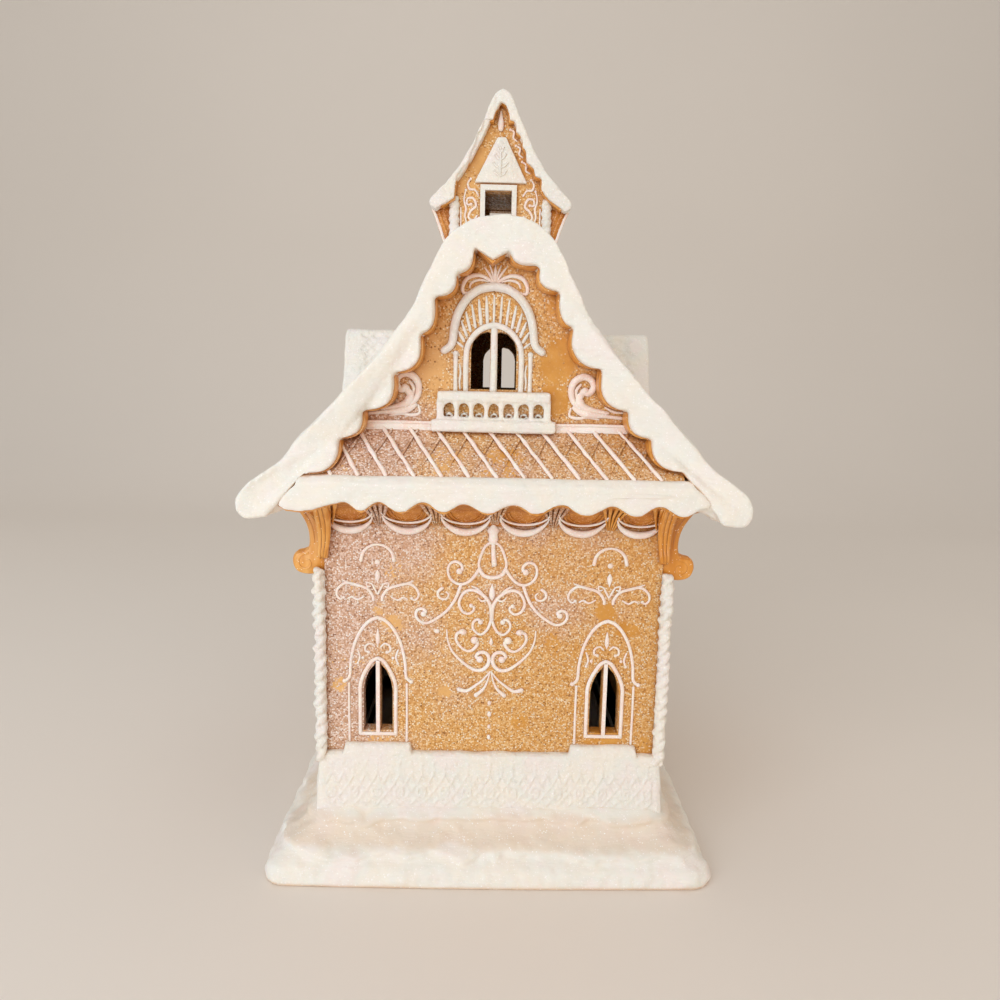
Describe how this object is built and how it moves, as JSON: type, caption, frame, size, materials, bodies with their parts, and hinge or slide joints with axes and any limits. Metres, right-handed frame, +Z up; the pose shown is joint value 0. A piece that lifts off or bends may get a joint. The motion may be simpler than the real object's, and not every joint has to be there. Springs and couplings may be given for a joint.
{
  "type": "gingerbread house ornament",
  "caption": "Hollow gingerbread house ornament with snowy gable roofs, piped icing scrolls, arched windows and a little roof tower, on a snow base.",
  "frame": {"origin": "centre of the flat underside of the snow base", "axes": "+Z up, the gable that the picture shows faces -Y, +X to the right of it"},
  "size_m": [0.249, 0.239, 0.418],
  "materials": {
    "gingerbread": "amber gingerbread with rose gold glitter",
    "icing": "warm white snow with fine glitter"
  },
  "bodies": {
    "root": {"house": "gingerbread"}
  },
  "joints": []
}
